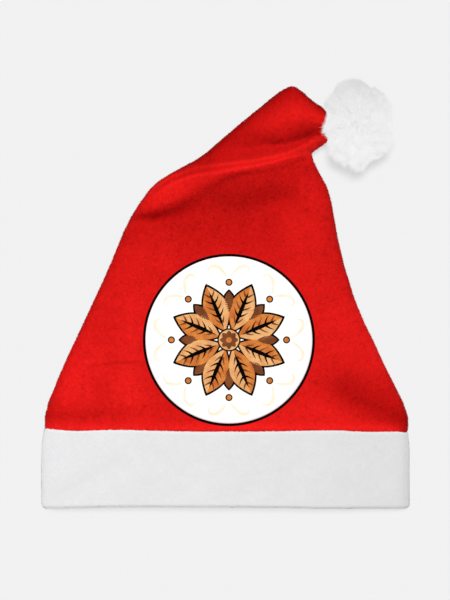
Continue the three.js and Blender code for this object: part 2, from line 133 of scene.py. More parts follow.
# Folds lift (or, below 0, sink) the top layer along a curve. Each has a power, a tone and rows. A
# higher power gives a flatter top with steeper sides. The tone is light and shade painted into the
# red nap along the fold: a painted highlight above 0 and painted shade below. A row holds a point's
# x and y, the lift there, and how far the fold reaches to the left and to the right of the curve as
# it runs.
FOLDS = [
    (2, 0, [  # rise to the folded tip
        (-80, 68, 0.6, 16, 12), (-61, 72, 1.6, 16, 18), (-45, 80, 2.4, 14, 22), (-28, 90, 3.6, 11, 25),
        (-12, 98, 4.8, 9, 27), (8, 101.5, 5.4, 9, 27), (28, 104, 5.4, 9, 25), (49, 110, 4.2, 8, 22),
        (65, 115.5, 2.2, 7, 17), (86, 125, 0.6, 7, 10)]),
    (4, 0.1, [  # front roll
        (-80, 71.5, 0.8, 20, 10), (-61, 74.5, 2.6, 18, 12), (-45, 81.5, 2.6, 16, 14),
        (-28, 90.5, 1.8, 12, 14), (-12, 98, 1.1, 7, 10), (8, 101.5, 1, 6, 6), (28, 104, 0.8, 6, 5.5),
        (49, 110, 0.8, 6, 5.5), (65, 115.5, 0.8, 6, 5), (86, 125, 0.6, 6, 5)]),
    (2, 0.2, [  # line on the front roll
        (-61, 76.5, 0, 1.8, 2), (-52.5, 84, 0.3, 1.6, 2), (-39.5, 90.8, 0.4, 1.4, 2),
        (-31, 93.7, 0.45, 1.4, 2), (-19.5, 96.6, 0.5, 1.4, 2.2), (-8, 97.4, 0.55, 1.4, 3),
        (8.5, 100.8, 0.6, 1.4, 3), (25.5, 103.6, 0.6, 1.3, 2.6), (39, 106.6, 0.55, 1.3, 1.5),
        (52.5, 110.3, 0.5, 1.3, 1.5), (66, 113.7, 0.3, 1.3, 1.5)]),
    (2, -0.28, [  # groove between the rolls
        (-60, 80, -0.2, 1.4, 1.3), (-53.5, 86.3, -0.4, 1.4, 1.3), (-39.5, 94, -0.4, 1.5, 1.4),
        (-28, 97.4, -0.35, 1.5, 1.4), (-12, 100.6, -0.25, 1.5, 1.4), (8.5, 103.2, -0.15, 1.2, 1.1),
        (28, 106.4, -0.1, 1.2, 1.1), (49, 111.6, 0, 1.2, 1.1)]),
    (2, 0.22, [  # line on the back roll
        (-62, 84, 0.2, 1.2, 1.1), (-48, 92, 0.35, 1.2, 1.1), (-28.5, 101, 0.4, 1.5, 1.2),
        (-12, 103.6, 0.5, 1.5, 1.2), (8, 106, 0.6, 1.5, 1.2), (28, 108.8, 0.6, 1.5, 1.2),
        (49, 113.6, 0.5, 1.5, 1.2), (65, 120.6, 0.5, 1.5, 1.2), (83, 128.5, 0.4, 1.5, 1.2)]),
    (2, -0.1, [  # trough before the roll
        (-80, 58, -0.2, 5, 8), (-66, 60.5, -1.5, 5, 10), (-52, 61, -2, 7, 13), (-40, 63, -1.5, 10, 16),
        (-20, 66, -1.5, 15, 22), (8, 66, -1.8, 18, 25), (28, 70, -1.8, 17, 22), (49, 76, -1.2, 14, 18),
        (66, 84, 0, 9, 14)]),
    (2, -0.12, [  # valley behind the rolls
        (8, 113.5, 0, 5, 5), (28.5, 119, -0.8, 5, 5), (49, 120.5, -1.6, 5, 5), (65, 125.5, -1.6, 4.5, 4.5),
        (76, 130, -0.8, 4.5, 4), (88, 134.5, 0, 4.5, 4)]),
    (2, 0, [  # hollow of the tip
        (-14, 108, 0, 8, 8), (8, 114, -1, 10, 8), (28, 118.5, -1.7, 10, 8), (49, 120.5, -1.9, 9, 8),
        (65, 125, -1.7, 8, 7), (80, 130.5, -0.8, 7, 6)]),
    (2, 0.42, [  # bright end of the roll
        (62, 114, 0, 4, 5), (70, 115.5, 0.6, 4, 8), (77, 119.5, 0.6, 5, 9), (85, 124.5, 0.6, 5, 6)]),
    (2, -0.16, [  # shade at the left of the trough
        (-92, 34, 0, 4, 8), (-82, 45, -0.4, 4, 9), (-71, 50, -0.4, 4, 8), (-58, 54, 0, 4, 6)]),
    (2, 0.1, [  # crest of the tip
        (18, 132, 0, 8, 8), (30, 139, 0.6, 8, 8), (49, 144, 1, 9, 9), (65, 142, 1.1, 8, 8),
        (80, 138, 0.8, 6, 6)]),
    (2, -0.2, [  # shade along the tip's far edge
        (-44, 95, 0, 4, 4), (-33, 102, -0.5, 5, 7), (-17, 110, -0.6, 6, 12), (2.5, 124, -0.6, 6, 14),
        (22, 140, -0.6, 6, 12), (41.5, 156, -0.5, 6, 8), (52, 163, -0.5, 5, 6), (62, 161, -0.5, 5, 6),
        (72, 152, -0.5, 5, 6), (80, 145, -0.4, 5, 5)]),
    (2, -0.55, [  # dark edge of the tip's end
        (57, 168, 0, 3, 3), (68, 161, -0.4, 3, 3.5), (76, 154.5, -0.5, 3, 3.5), (83, 148.5, -0.5, 3, 3.5),
        (86, 140, -0.5, 3, 3), (86.5, 133, 0, 3, 3)]),
    (2, 0.16, [  # bright lower left
        (-122, -45, 0.3, 22, 22), (-122, -70, 0.6, 22, 18), (-128, -86, 0.6, 15, 14)]),
    (2, 0.16, [  # bright beside the print
        (-76, -18, 0.2, 9, 9), (-78, -34, 0.5, 12, 12), (-80, -52, 0.4, 14, 13), (-80, -74, 0.6, 17, 14),
        (-76, -86, 0.6, 14, 14)]),
    (2, -0.07, [  # shade between the two
        (-98, -62, 0, 5, 5), (-100, -74, 0.5, 6, 6), (-103, -92, 0.2, 6, 6)]),
    (2, -0.08, [  # crease beside the print
        (-122, -63, 0, 1, 1), (-106, -60, -0.3, 1.2, 1.2), (-84, -58, -0.5, 1.3, 1.3),
        (-70, -57.5, -0.2, 1.2, 1.2)]),
    (2, 0.22, [  # swell along the cuff
        (-146, -112, 0.9, 4, 3), (-70, -111.5, 1, 4, 3), (70, -111.5, 1, 4, 3), (132, -112, 0.8, 4, 3),
        (146, -112, 0, 4, 3)]),
    (2, -0.07, [  # hollow above the cuff
        (-147, -104, -0.5, 5, 4), (-128, -103, -0.7, 6, 4), (-106, -102, -0.5, 6, 5),
        (-80, -101, -0.4, 7, 5), (-60, -100, 0, 7, 5)]),
    (2, -0.3, [  # fall at the right corner
        (76, -60, 0, 12, 8), (87, -71.5, -0.3, 13, 9), (102, -83.5, -0.8, 15, 9), (118, -93.5, -1.4, 16, 8),
        (136, -102.5, -1.8, 13, 7), (148, -108, -1.8, 9, 6)]),
    (2, 0.12, [  # bright foot of the crown
        (-40, -96, 0, 10, 10), (0, -100, 0.6, 9, 10), (50, -101, 0.8, 11, 10), (85, -101, 0.6, 8, 9),
        (108, -106, 0, 6, 6)]),
    (2, -0.13, [  # shade above the print
        (-50, 48, -0.3, 12, 22), (-20, 46, -0.8, 14, 22), (25, 50, -0.8, 14, 22), (50, 56, 0, 12, 18)]),
]

# Light and shade painted on the side folds, where they face one way on the table, darker or
# brighter than the lamps make them: that way, the y where it starts and ends, the change of tone at
# the very edge, and a power, which keeps the change closer to the edge the higher it is
PAINTED_EDGE_LIGHT = [
    ((-1, 0), -110, 55, -0.13, 1.5),  # left side
    ((-0.7, 0.7), 62, 102, -0.3, 5),  # roll
    ((-0.7, 0.7), 102, 200, -0.32, 1.5),  # tip
    ((1, 0), -68, -10, 0.33, 1),  # right side
]
EDGE_BLEND = 12  # how softly an edge's tone sets in and ends, to either side of its y
CURVE_POINTS = 28  # of each fold
SLOPE_STEP = 0.6  # how far to either side of a point its slope is taken
LEVEL = 0.01  # added to a slope, so that level cloth faces nowhere
# Painted shade in the red nap's colour: on slopes that face the rim, less on slopes that face the tip,
# towards the side folds and where the cloth faces down, but never under TONE_DARKEST. A fold paints its
# whole tone once it lifts by FULL_TONE_LIFT.
FACES_RIM = (-0.6, 0.5)
PAINTED_SLOPE_SHADE = 0.9  # on slopes that face the rim
AWAY_SHARE = 0.15  # how much of that is left on slopes that face the tip
PAINTED_RIM_SHADE = 0.25  # towards the side folds
RIM_POWER = 1.5
FULL_TONE_LIFT = 0.6  # from here on a fold shows its whole tone
TONE_DARKEST = 0.42
PAINTED_UNDERSIDE_SHADE = 0.75

# Unevenness and flecks: rows of a strength, a size and a seed
CROWN_UNEVENNESS = [(0.3, 62, 3), (0.12, 23, 5)]
CUFF_UNEVENNESS = [(0.45, 55, 31), (0.2, 21, 32)]
CORE_UNEVENNESS = [(0.05, 9, 61)]
CROWN_FLECKS = [(0.05, 1.4, 21), (0.03, 3, 22), (0.02, 11, 23)]
CUFF_FLECKS = [(0.15, 12, 51)]
WAVES = 9
WAVE_SPREAD = (0.7, 1.5)  # of the sines' lengths, as shares of the size
GRAIN_CELLS = 512

# How finely the surfaces are divided
TOP_STEPS = 150
UNDER_STEPS = 80
CROWDING = 0.55  # how much closer the steps are at the side folds
OUTSIDE_LOOPS = 300
HOLLOW_LOOPS = 90
LAST_LOOPS = 4  # these give the way in which a closed end bulges
TIP_SHARES = (0.97, 0.88, 0.74, 0.54, 0.3, 0.03)
TIP_BULGE = 3.5
HOLLOW_SHARES = (0.75, 0.5, 0.25, 0.03)
ROW_SAMPLES = 3000
FRONT_SAMPLES = 2000
SPAN_STEPS = 40

# Nap and pile: lean is in radians from upright, and a clump's fibres lean the same way. upward turns
# the shading up all over and then at the rims, where light comes through. variety is in steps of the
# tones.
FIBRES = 199000  # in each
CROWN_NAP = {"length": 1.9, "width": 0.42, "lean": 1.12, "softness": 0.25, "upward": (0, 0.9),
             "clump": 2.2, "variety": 0.4}
CUFF_PILE = {"length": 1.3, "width": 0.36, "lean": 1.3, "softness": 0.05, "upward": (0.6, 1),
             "clump": 3, "variety": 0.2}
CLUMP_SWAY = 1.6
FIBRE_SWAY = 0.6
LEAN_VARIETY = 0.15
LEAN_LIMITS = (0.3, 1.42)
LENGTH_SPREAD = (0.65, 1.2)
TWIST = 0.2
CURL_SHARE = 0.6  # a curl's size, as a share of a clump's
CLUMP_SEED = 11
CURL_SEEDS = (12, 13)
SHADING_VARIETY = 0.4
SHADING_GROWTH = 0.1  # how far the shading follows the fibres
TURNED_UP = (-0.6, 0.1)  # where upward sets in, by a normal's height
HEIGHT_SHARE = 1.7  # how much a height counts, next to y, in where a clump is
SPARE_SPOTS = 3  # how many are drawn for each that is kept
FACES_DOWN = -0.5  # normals below this height belong to the underside

RANDOM_SEED = 24


# Curves, noise and folds


def evenly(points, columns, count):
    """Columns of values at a line's points, taken again at even spacing along it."""
    run = np.concatenate([[0], np.cumsum(np.linalg.norm(np.diff(points, axis=0), axis=1))])
    even = np.linspace(0, run[-1], count)
    return np.column_stack([np.interp(even, run, column) for column in columns])


def smooth_line(points, count):
    """Rows at even spacing along a Catmull-Rom curve through some rows that start with x and y."""
    known = np.array([points[0], *points, points[-1]], float)
    t = np.linspace(0, 1, SPAN_STEPS, endpoint=False)[:, None]
    spans = []
    for a, b, c, d in zip(known, known[1:], known[2:], known[3:]):
        slope_b = (c - a) / 2
        slope_c = (d - b) / 2
        cube = 2 * b - 2 * c + slope_b + slope_c
        square = -3 * b + 3 * c - 2 * slope_b - slope_c
        spans.append(((cube * t + square) * t + slope_b) * t + b)
    dense = np.vstack([*spans, known[-1:]])
    return evenly(dense[:, :2], dense.T, count)


def smoothstep(value, low, high):
    t = np.clip((value - low) / (high - low), 0, 1)
    return t * t * (3 - 2 * t)


def bell(distance, width):
    return np.exp(-((distance / width) ** 2))


def unit(vectors):
    return vectors / np.maximum(np.linalg.norm(vectors, axis=-1, keepdims=True), TINY)


def circle(count):
    """The x and y of points round a circle."""
    turn = np.linspace(0, 2 * math.pi, count, endpoint=False)
    return np.cos(turn), np.sin(turn)


def blended(a, b, c, d, s, t):
    """Between four corners: s of the way from a to b and from c to d, then t between those two."""
    return (a * (1 - s) + b * s) * (1 - t) + (c * (1 - s) + d * s) * t


def nearest_on(line, x, y):
    """Signed distance to a line of points, negative to the right of its run, and the share along it."""
    best = np.full(x.shape, np.inf)
    signed = np.zeros(x.shape)
    along = np.zeros(x.shape)
    for i, (a, b) in enumerate(zip(line, line[1:])):
        run = b - a
        part = np.clip(((x - a[0]) * run[0] + (y - a[1]) * run[1]) / (run @ run), 0, 1)
        distance = np.hypot(x - a[0] - part * run[0], y - a[1] - part * run[1])
        side = np.where(run[0] * (y - a[1]) - run[1] * (x - a[0]) < 0, -1, 1)
        nearer = distance < best
        best = np.where(nearer, distance, best)
        signed = np.where(nearer, side * distance, signed)
        along = np.where(nearer, (i + part) / (len(line) - 1), along)
    return signed, along


def waves(x, y, size, seed):
    """A smooth random height, mostly from -1 to 1, with lumps of about a size."""
    rng = np.random.default_rng(seed)
    total = np.zeros(np.shape(x))
    for _ in range(WAVES):
        angle, phase = rng.uniform(0, 2 * math.pi, 2)
        length = size * rng.uniform(*WAVE_SPREAD)
        total += np.sin(2 * math.pi * (x * math.cos(angle) + y * math.sin(angle)) / length + phase)
    return total / math.sqrt(WAVES * 2)


def grain(x, y, size, seed):
    """Random values that change smoothly from one spot to the next, each about a size across."""
    cells = np.random.default_rng(seed).normal(size=(GRAIN_CELLS, GRAIN_CELLS))
    across = np.asarray(x) / size + GRAIN_CELLS / 2
    up = np.asarray(y) / size + GRAIN_CELLS / 2
    i = np.floor(across).astype(int)
    k = np.floor(up).astype(int)
    s = across - i
    t = up - k
    i = i % (GRAIN_CELLS - 1)
    k = k % (GRAIN_CELLS - 1)
    return blended(cells[i, k], cells[i + 1, k], cells[i, k + 1], cells[i + 1, k + 1], s, t)


def layered(noise, rows, x, y):
    """The sum of several layers of waves or grain."""
    return sum(strength * noise(x, y, size, seed) for strength, size, seed in rows)


# The folds' rows are where they show from above. The top layer is nearer than the table, so on it
# they are drawn in a little towards the middle of the view.
TOP_LAYER_DRAWN_IN = 0.9885
VIEW_MIDDLE = (0, -6.1)


def fold_line(rows):
    """A fold's rows along its curve on the top layer."""
    line = smooth_line(rows, CURVE_POINTS)
    line[:, :2] = VIEW_MIDDLE + (line[:, :2] - VIEW_MIDDLE) * TOP_LAYER_DRAWN_IN
    return line


FOLD_CURVES = [(power, tone, fold_line(rows)) for power, tone, rows in FOLDS]


def fold_share(line, power, x, y):
    """A fold's lift at its curve's nearest point, and how much of it is left here, from 0 to 1."""
    distance, along = nearest_on(line[:, :2], x, y)
    lift, left, right = [np.interp(along, np.linspace(0, 1, len(line)), line[:, k]) for k in (2, 3, 4)]
    reach = np.where(distance > 0, left, right)
    return lift, np.exp(-((np.abs(distance) / reach) ** power))


def cloth_lift(x, y):
    """How far folds and small unevenness raise the top layer over its plain dome."""
    total = layered(waves, CROWN_UNEVENNESS, x, y)
    for power, _, line in FOLD_CURVES:
        lift, share = fold_share(line, power, x, y)
        total = total + lift * share
    return total


def cloth_painted_light(points, normals):
    """Light and shade painted into the red nap: painted shade on slopes, towards the side folds and
    where it faces down, and painted highlights and shade along the folds and the side folds.
    """
    x, y = points[..., 0], points[..., 1]
    slope_x = (cloth_lift(x + SLOPE_STEP, y) - cloth_lift(x - SLOPE_STEP, y)) / (2 * SLOPE_STEP)
    slope_y = (cloth_lift(x, y + SLOPE_STEP) - cloth_lift(x, y - SLOPE_STEP)) / (2 * SLOPE_STEP)
    steep = np.hypot(slope_x, slope_y)
    fold_slope = np.sin(np.arctan(steep))
    whole_slope = np.sqrt(np.clip(1 - normals[..., 2] ** 2, 0, 1))
    faces_rim = smoothstep(slope_y / (steep + LEVEL), *FACES_RIM)
    tone = 1 - PAINTED_SLOPE_SHADE * fold_slope * (AWAY_SHARE + (1 - AWAY_SHARE) * faces_rim)
    tone = tone - PAINTED_RIM_SHADE * np.clip(whole_slope - fold_slope, 0, 1) ** RIM_POWER
    for power, fold_painted_light, line in FOLD_CURVES:
        lift, share = fold_share(line, power, x, y)
        tone = tone + fold_painted_light * np.clip(np.abs(lift) / FULL_TONE_LIFT, 0, 1) * share
    for facing, from_y, to_y, edge_painted_light, power in PAINTED_EDGE_LIGHT:
        faces_out = np.clip(normals[..., :2] @ facing, 0, 1)
        here = smoothstep(y, from_y - EDGE_BLEND, from_y + EDGE_BLEND)
        here = here * (1 - smoothstep(y, to_y - EDGE_BLEND, to_y + EDGE_BLEND))
        tone = tone + edge_painted_light * here * faces_out**power
    return np.where(normals[..., 2] > 0, np.maximum(tone, TONE_DARKEST), PAINTED_UNDERSIDE_SHADE)


# Loops round the cloth


def section_at(at):
    """The sections' columns at whole or part rows, smooth and never past their neighbours."""
    steps = np.diff(SECTIONS, axis=0)
    before, after = steps[:-1], steps[1:]
    same_way = before * after > 0
    slopes = np.zeros(SECTIONS.shape)
    slopes[1:-1] = np.where(same_way, 2 * before * after / np.where(same_way, before + after, 1), 0)
    i = np.clip(np.floor(at).astype(int), 0, TIP_ROW - 1)
    t = (at - i)[:, None]
    start = SECTIONS[i] + slopes[i] * t
    end = SECTIONS[i + 1] - slopes[i + 1] * (1 - t)
    return start + (end - start) * smoothstep(t, 0, 1)


def crowded(count):
    """Shares from 0 towards 1 that stand closer together at both ends."""
    share = np.linspace(0, 1, count, endpoint=False)
    return share - CROWDING * np.sin(2 * math.pi * share) / (2 * math.pi)


# The turn of each point of a loop: 0 to pi over the top, and on to 2 pi along the underside
TURNS = math.pi * np.concatenate([crowded(TOP_STEPS), 1 + crowded(UNDER_STEPS)])
ON_TOP = TURNS < math.pi


def loops_of(sections, depth, lift=cloth_lift, inset=0):
    """A grid of points: a closed loop round each section, at a depth below the outside. inset takes
    the side folds further in, as where nap stands out from them."""
    left_x, left_y, right_x, right_y, loft, side, floor = sections.T[:, :, None]
    depth = np.reshape(depth, (-1, 1))
    share = (1 - np.cos(TURNS)) / 2
    middle = np.abs(np.sin(TURNS))
    width = np.hypot(right_x - left_x, right_y - left_y)
    side_depth = depth + inset
    across = (side_depth + share * (width - 2 * side_depth)) / width
    x = left_x + (right_x - left_x) * across
    y = left_y + (right_y - left_y) * across
    top = side + (loft - depth - side) * middle**TOP_FULLNESS
    top = top + lift(x, y) * middle**FOLD_EDGE_POWER
    fall = np.minimum(1, UNDER_SPREAD * middle**UNDER_FULLNESS)
    under = side - (side - floor - depth) * fall
    return np.stack([x, y, np.where(ON_TOP, top, under)], axis=-1)


def even_rows(last_row, count):
    """Rows from the hem to a last one whose sections are evenly far apart."""
    dense = np.linspace(0, last_row, ROW_SAMPLES)
    return evenly(section_at(dense)[:, :4], [dense], count)[:, 0]


def front_height(x, y):
    """The crown's top height over points of its straight part."""
    dense = np.linspace(0, STRAIGHT_ROWS, FRONT_SAMPLES)
    rows = np.interp(np.ravel(y), section_at(dense)[:, 1], dense)
    left_x, _, right_x, _, loft, side, _ = section_at(rows).T
    share = (np.ravel(x) - left_x) / (right_x - left_x)
    middle = np.sqrt(np.clip(1 - (2 * share - 1) ** 2, 0, 1))
    lift = cloth_lift(np.ravel(x), np.ravel(y)) * middle**FOLD_EDGE_POWER
    return (side + (loft - side) * middle**TOP_FULLNESS + lift).reshape(np.shape(x))


def loops_to_centre(grid, shares, bulge=0):
    """Loops that close a grid's last loop by shrinking it, and carry on its way in a low dome."""
    last = grid[-1]
    centre = last.mean(axis=0)
    onwards = unit(centre - grid[-LAST_LOOPS].mean(axis=0))
    return [centre + (last - centre) * share + onwards * bulge * math.sqrt(1 - share**2)
            for share in shares]


def grid_normals(grid, ring=False):
    """Unit normals of a grid of loops."""
    along = np.gradient(grid, axis=0)
    if ring:
        along = np.roll(grid, -1, axis=0) - np.roll(grid, 1, axis=0)
    around = np.roll(grid, -1, axis=1) - np.roll(grid, 1, axis=1)
    return unit(np.cross(along, around))


# Meshes


def mesh_piece(name, points, faces, materials, face_slots=None, smooth=True, normals=None):
    """A piece from points in millimetres and faces that all have the same number of corners."""
    points = np.asarray(points, np.float32).reshape(-1, 3)
    faces = np.asarray(faces, np.int32)
    mesh = bpy.data.meshes.new(name)
    corners = faces.shape[1]
    mesh.vertices.add(len(points))
    mesh.vertices.foreach_set("co", (points * MM).ravel())
    mesh.loops.add(faces.size)
    mesh.loops.foreach_set("vertex_index", faces.ravel())
    mesh.polygons.add(len(faces))
    mesh.polygons.foreach_set("loop_start", np.arange(0, faces.size, corners, dtype=np.int32))
    mesh.update(calc_edges=True)
    mesh.polygons.foreach_set("use_smooth", np.full(len(faces), smooth))
    for material in materials:
        mesh.materials.append(material)
    if face_slots is not None:
        mesh.polygons.foreach_set("material_index", np.asarray(face_slots, np.int32))
    if normals is not None:
        mesh.normals_split_custom_set_from_vertices(normals.tolist())
    piece = bpy.data.objects.new(name, mesh)
    piece.visible_diffuse = False  # the photo's studio light leaves no glow on the table
    bpy.context.scene.collection.objects.link(piece)
    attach(piece, "root")
    return piece


def skin_piece(name, grid, material, ring=False):
    """A piece from a grid of loops; a ring joins its last loop to its first."""
    loops, around = grid.shape[:2]
    here = np.arange(loops if ring else loops - 1)[:, None] * around
    after = (here + around) % (loops * around)
    k = np.arange(around)
    beside = (k + 1) % around
    faces = np.stack([here + k, after + k, after + beside, here + beside], axis=-1)
    return mesh_piece(name, grid, faces.reshape(-1, 4), [material])


def scatter(grid, normals, tones, rng, keep):
    """Random points spread evenly over a grid's surface where keep(points, normals) is above a
    random share, with their normals, the direction that runs along the grid, and their tones."""
    a, b = grid[:-1], grid[1:]
    c = np.roll(b, -1, axis=1)
    d = np.roll(a, -1, axis=1)
    area = np.linalg.norm(np.cross(c - a, b - d), axis=-1).ravel()
    picked = rng.choice(len(area), size=FIBRES * SPARE_SPOTS, p=area / area.sum())
    i, k = np.unravel_index(picked, a.shape[:2])
    beside = (k + 1) % grid.shape[1]
    s, t = rng.uniform(size=(2, len(picked), 1))
    points, upright, tone = [
        blended(field[i, k], field[i, beside], field[i + 1, k], field[i + 1, beside], s, t)
        for field in (grid, normals, tones[..., None])
    ]
    upright = unit(upright)
    along = grid[i + 1, k] - grid[i, k]
    along = unit(along - upright * np.sum(along * upright, axis=1, keepdims=True))
    kept = np.flatnonzero(rng.uniform(size=len(points)) < keep(points, upright))[:FIBRES]
    return points[kept], upright[kept], along[kept], tone[kept, 0]


def nap_piece(name, spots, nap, steps, materials, rng):
    """Short nap: one slim leaning triangle for each fibre. steps is each fibre's place among the
    materials, which run from dark to bright as shaded and lit copies of one colour, so the steps
    carry painted light and shade as well as random tone."""
    roots, normals, along, _ = spots
    count = len(roots)
    side = np.cross(normals, along)
    x = roots[:, 0]
    level = roots[:, 1] + HEIGHT_SHARE * roots[:, 2]
    heading = CLUMP_SWAY * grain(x, level, nap["clump"], CLUMP_SEED)
    heading = (heading + rng.normal(0, FIBRE_SWAY, count))[:, None]
    over = along * np.cos(heading) + side * np.sin(heading)
    tilt = np.clip(nap["lean"] + rng.normal(0, LEAN_VARIETY, count), *LEAN_LIMITS)[:, None]
    grow = unit(normals * np.cos(tilt) + over * np.sin(tilt))
    reach = nap["length"] * rng.uniform(*LENGTH_SPREAD, count)[:, None]
    flat = unit(np.cross(grow, normals) + rng.normal(0, TWIST, (count, 3)))
    half = flat * nap["width"] / 2
    points = np.stack([roots - half, roots + half, roots + grow * reach], axis=1)
    facing = np.cross(points[:, 1] - points[:, 0], points[:, 2] - points[:, 0])
    backwards = np.sum(facing * normals, axis=1) < 0
    points[backwards] = points[backwards][:, [1, 0, 2]]
    curls = [grain(x, level, nap["clump"] * CURL_SHARE, seed)[:, None] for seed in CURL_SEEDS]
    loose = rng.normal(0, SHADING_VARIETY, (count, 3)) + (along * curls[0] + side * curls[1])
    shading = normals + nap["softness"] * loose + SHADING_GROWTH * grow
    all_over, at_rims = nap["upward"]
    upward = all_over + at_rims * (1 - np.clip(normals[:, 2], 0, 1))
    shading[:, 2] += upward * smoothstep(normals[:, 2], *TURNED_UP)
    faces = np.arange(count * 3).reshape(-1, 3)
    steps = np.clip(steps + rng.normal(0, nap["variety"], count), 0, len(materials) - 1)
    return mesh_piece(name, points, faces, materials, face_slots=np.round(steps), smooth=False,
                      normals=np.repeat(unit(shading), 3, axis=0))


# Materials

GLOSS = 0.12


def new_material(name, settings):
    """A material and its shader, with some of the shader's inputs set."""
    material = bpy.data.materials.new(name)
    material.use_nodes = True
    shader = material.node_tree.nodes["Principled BSDF"]
    for label, value in settings.items():
        shader.inputs[label].default_value = value
    return material, shader


def cloth_material(name, dark, light, grain_size, bump, patch_size, roughness=0.95, sheen=0.1,
                   sheen_tint=(1, 1, 1), painted_light_attribute=None, gloss=GLOSS):
    """Cloth whose colour wanders between two tones, with a fine grain and a soft bump. The sizes of
    the grain and of the tones' patches are in metres. A mesh attribute of painted light and shade
    may scale the colour."""
    material, shader = new_material(name, {
        "Roughness": roughness, "Specular IOR Level": gloss, "Sheen Weight": sheen,
        "Sheen Roughness": 0.5, "Sheen Tint": (*sheen_tint, 1)})
    nodes, links = material.node_tree.nodes, material.node_tree.links
    place = nodes.new("ShaderNodeTexCoord")
    both = nodes.new("ShaderNodeMath")
    both.operation = "ADD"
    for number, (size, detail, rough) in enumerate([(patch_size, 3, 0.5), (grain_size, 4, 0.7)]):
        texture = nodes.new("ShaderNodeTexNoise")
        texture.inputs["Scale"].default_value = 1 / size
        texture.inputs["Detail"].default_value = detail
        texture.inputs["Roughness"].default_value = rough
        links.new(place.outputs["Object"], texture.inputs["Vector"])
        links.new(texture.outputs["Fac"], both.inputs[number])
    half = nodes.new("ShaderNodeMath")
    half.operation = "MULTIPLY"
    half.inputs[1].default_value = 0.5
    links.new(both.outputs[0], half.inputs[0])
    ramp = nodes.new("ShaderNodeValToRGB")
    for stop, position, color in zip(ramp.color_ramp.elements, (0.4, 0.6), (dark, light)):
        stop.position = position
        stop.color = (*color, 1)
    links.new(half.outputs[0], ramp.inputs["Fac"])
    color = ramp.outputs["Color"]
    # The attribute paints light and shade into the colour
    if painted_light_attribute:
        tone = nodes.new("ShaderNodeAttribute")
        tone.attribute_name = painted_light_attribute
        scaled = nodes.new("ShaderNodeVectorMath")
        scaled.operation = "SCALE"
        links.new(color, scaled.inputs[0])
        links.new(tone.outputs["Fac"], scaled.inputs["Scale"])
        color = scaled.outputs["Vector"]
    links.new(color, shader.inputs["Base Color"])
    raised = nodes.new("ShaderNodeBump")
    raised.inputs["Strength"].default_value = bump
    raised.inputs["Distance"].default_value = grain_size
    links.new(texture.outputs["Fac"], raised.inputs["Height"])
    links.new(raised.outputs["Normal"], shader.inputs["Normal"])
    return material


def fibre_materials(name, colors, sheen=0.1, gloss=GLOSS):
    """Tones of loose fibres, which are too thin to show any pattern of their own."""
    return [new_material(f"{name}_{i}", {
        "Base Color": (*color, 1), "Roughness": 0.9, "Specular IOR Level": gloss,
        "Sheen Weight": sheen, "Sheen Roughness": 0.5, "Sheen Tint": (*color, 1)})[0]
        for i, color in enumerate(colors)]


def ink_material(name, dark, light, gloss=GLOSS):
    return cloth_material(name, dark, light, grain_size=0.0007, bump=0.18, patch_size=0.006,
                          roughness=0.85, sheen=gloss / 3, gloss=gloss)


RED = np.array([0.70, 0.0092, 0.008])
RED_STEPS = (0.36, 0.46, 0.57, 0.69, 0.82, 0.96, 1.1, 1.25, 1.42)
# The red cloth's colour is scaled by its tone attribute, which holds painted light and shade
fleece_red = cloth_material("fleece_red", RED * 0.85, RED * 1.05, grain_size=0.0009, bump=0.5,
                            patch_size=0.03, sheen=0.15, sheen_tint=(1, 0.2, 0.2), painted_light_attribute="tone",
                            gloss=0.03)
# Shaded and lit copies of the red for the nap, picked by painted light and shade. Dark fibres are a
# deeper red too, so green and blue fall off faster
red_lit_and_shaded_tones = fibre_materials("fleece_fibre", [RED * (step, step**2, step**2) for step in RED_STEPS],
                            sheen=0.02, gloss=0)

WHITE = np.array([0.782, 0.782, 0.792])
WHITE_STEPS = (0.84, 0.88, 0.92, 0.96, 1.0, 1.03)
plush_white = cloth_material("plush_white", WHITE * 0.91, WHITE * 0.94, grain_size=0.0012, bump=0.25,
                             patch_size=0.04)
# Shaded and lit copies of the white for the cuff's pile, which carry its painted shade and random tone
white_lit_and_shaded_tones = fibre_materials("plush_fibre", [WHITE * step for step in WHITE_STEPS])

PILE_WHITE = np.array([0.875, 0.873, 0.88])
PILE_STEPS = (0.76, 0.82, 0.88, 0.93, 0.97, 1.0, 1.03)
pompom_white = cloth_material("pompom_white", PILE_WHITE * 0.9, PILE_WHITE, grain_size=0.002, bump=0.3,
                              patch_size=0.01)
# Shaded and lit copies of the white for the pompom's strands, which carry their painted shade and random
# tone
pile_lit_and_shaded_tones = fibre_materials("pompom_fibre", [PILE_WHITE * step for step in PILE_STEPS])

print_white = ink_material("print_white", (0.93, 0.93, 0.92), (0.97, 0.97, 0.965))
print_black = ink_material("print_black", (0.0012, 0.0010, 0.0011), (0.0035, 0.003, 0.003), gloss=0.01)
print_orange = ink_material("print_orange", (0.50, 0.12, 0.022), (0.72, 0.25, 0.05))
print_tan = ink_material("print_tan", (0.70, 0.30, 0.10), (0.84, 0.48, 0.2))
print_brown = ink_material("print_brown", (0.12, 0.035, 0.012), (0.24, 0.07, 0.02))
print_cream = ink_material("print_cream", (0.93, 0.80, 0.6), (0.95, 0.88, 0.75))


# The crown

NAP_START = (CUFF_TOP_Y - 2, CUFF_TOP_Y - 1)  # the nap sets in just below the cuff's upper edge
PRINT_CLEARANCE = 1.2  # how far the nap stays off the print
UNDERSIDE_NAP = 0.25  # the share of fibres there
FLECKS_LEFT = 1.1  # how strong the flecks are at the left, and their fall to the right
FLECKS_FALL = 0.6
FLECKS_FALL_X = (-60, 50)


